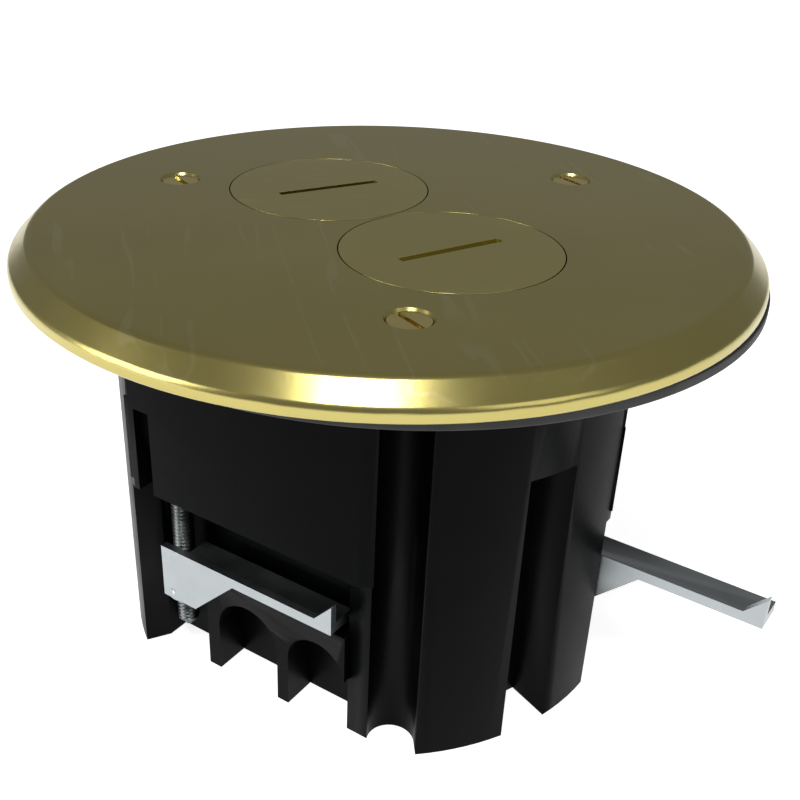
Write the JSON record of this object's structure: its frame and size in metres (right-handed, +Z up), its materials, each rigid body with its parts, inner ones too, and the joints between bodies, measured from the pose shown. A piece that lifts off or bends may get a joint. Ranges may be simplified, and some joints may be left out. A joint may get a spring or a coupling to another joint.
{
  "type": "floor socket box",
  "caption": "Round brass floor cover with flush screw-in plugs over a duplex socket, in a black drop-in box held by swing-out screw clamps.",
  "frame": {"origin": "on the cover's axis at the floor's surface, which is the underside of the sealing ring", "axes": "+Z up out of the floor, +X along the line of the two plugs from left to right"},
  "size_m": [0.1382, 0.131, 0.0815],
  "materials": {
    "brass": "satin, lacquered",
    "insert_brass": "as machined",
    "black_moulding": "moulded, slight sheen",
    "rubber": "smooth",
    "zinc_steel": "zinc plated",
    "socket_face_moulding": "moulded",
    "socket_back_moulding": "moulded",
    "contact_brass": "stamped",
    "green_screw": "green dyed zinc"
  },
  "bodies": {
    "box": {"box_body": "black_moulding", "cover_plate": "brass", "cover_screws": "brass", "cover_inserts": "insert_brass", "floor_gasket": "rubber", "socket_yoke": "zinc_steel", "socket_face": "socket_face_moulding", "socket_back": "socket_back_moulding", "live_contacts": "contact_brass", "neutral_contacts": "contact_brass", "earth_contacts": "contact_brass", "terminal_screws_live": "contact_brass", "terminal_screws_neutral": "zinc_steel", "earth_screw": "green_screw", "yoke_screws": "zinc_steel", "socket_rivets": "zinc_steel"},
    "lift_right": {"plug_seal_right": "rubber"},
    "cap_right": {"plug_right": "brass"},
    "lift_left": {"plug_seal_left": "rubber"},
    "cap_left": {"plug_left": "brass"},
    "screw_a": {"clamp_screw_a": "zinc_steel", "clamp_clip_a": "zinc_steel"},
    "nut_a": {"clamp_nut_a": "zinc_steel"},
    "arm_a": {"clamp_arm_a": "zinc_steel"},
    "screw_b": {"clamp_screw_b": "zinc_steel", "clamp_clip_b": "zinc_steel"},
    "nut_b": {"clamp_nut_b": "zinc_steel"},
    "arm_b": {"clamp_arm_b": "zinc_steel"},
    "screw_c": {"clamp_screw_c": "zinc_steel", "clamp_clip_c": "zinc_steel"},
    "nut_c": {"clamp_nut_c": "zinc_steel"},
    "arm_c": {"clamp_arm_c": "zinc_steel"}
  },
  "joints": [
    {"name": "plug_right_turn", "type": "hinge", "parent": "lift_right", "child": "cap_right", "pos_m": [0.01905, 0, 0.0046], "axis": [0, 0, 1], "range_deg": [0, 1440]},
    {"name": "plug_right_lift", "type": "slide", "parent": "box", "child": "lift_right", "axis": [0, 0, 1], "range_m": [0, 0.0062]},
    {"name": "plug_left_turn", "type": "hinge", "parent": "lift_left", "child": "cap_left", "pos_m": [-0.01905, 0, 0.0046], "axis": [0, 0, 1], "range_deg": [0, 1440]},
    {"name": "plug_left_lift", "type": "slide", "parent": "box", "child": "lift_left", "axis": [0, 0, 1], "range_m": [0, 0.0062]},
    {"name": "clamp_a_screw_turn", "type": "hinge", "parent": "box", "child": "screw_a", "pos_m": [-0.00268, -0.04142, -0.008], "axis": [0, 0, -1], "range_deg": [0, 3360]},
    {"name": "clamp_a_nut_lift", "type": "slide", "parent": "box", "child": "nut_a", "axis": [0, 0, 1], "range_m": [0, 0.0074]},
    {"name": "clamp_a_arm_swing", "type": "hinge", "parent": "nut_a", "child": "arm_a", "pos_m": [-0.00268, -0.04142, -0.0591], "axis": [0, 0, -1], "range_deg": [0, 121]},
    {"name": "clamp_b_screw_turn", "type": "hinge", "parent": "box", "child": "screw_b", "pos_m": [0.03721, 0.01839, -0.008], "axis": [0, 0, -1], "range_deg": [-1955, 2317]},
    {"name": "clamp_b_nut_lift", "type": "slide", "parent": "box", "child": "nut_b", "axis": [0, 0, 1], "range_m": [-0.0043, 0.0051]},
    {"name": "clamp_b_arm_swing", "type": "hinge", "parent": "nut_b", "child": "arm_b", "pos_m": [0.03721, 0.01839, -0.0548], "axis": [0, 0, -1], "range_deg": [-121, 0]},
    {"name": "clamp_c_screw_turn", "type": "hinge", "parent": "box", "child": "screw_c", "pos_m": [-0.03453, 0.02303, -0.008], "axis": [0, 0, -1], "range_deg": [0, 3360]},
    {"name": "clamp_c_nut_lift", "type": "slide", "parent": "box", "child": "nut_c", "axis": [0, 0, 1], "range_m": [0, 0.0074]},
    {"name": "clamp_c_arm_swing", "type": "hinge", "parent": "nut_c", "child": "arm_c", "pos_m": [-0.03453, 0.02303, -0.0591], "axis": [0, 0, -1], "range_deg": [0, 121]}
  ],
  "couplings": [
    {"joint": "plug_right_lift", "follows": "plug_right_turn", "m_per_rad": 0.00023873},
    {"joint": "plug_left_lift", "follows": "plug_left_turn", "m_per_rad": 0.00023873},
    {"joint": "clamp_a_screw_turn", "follows": "clamp_a_nut_lift", "rad_per_m": 7913.3},
    {"joint": "clamp_b_screw_turn", "follows": "clamp_b_nut_lift", "rad_per_m": 7913.3},
    {"joint": "clamp_c_screw_turn", "follows": "clamp_c_nut_lift", "rad_per_m": 7913.3}
  ]
}
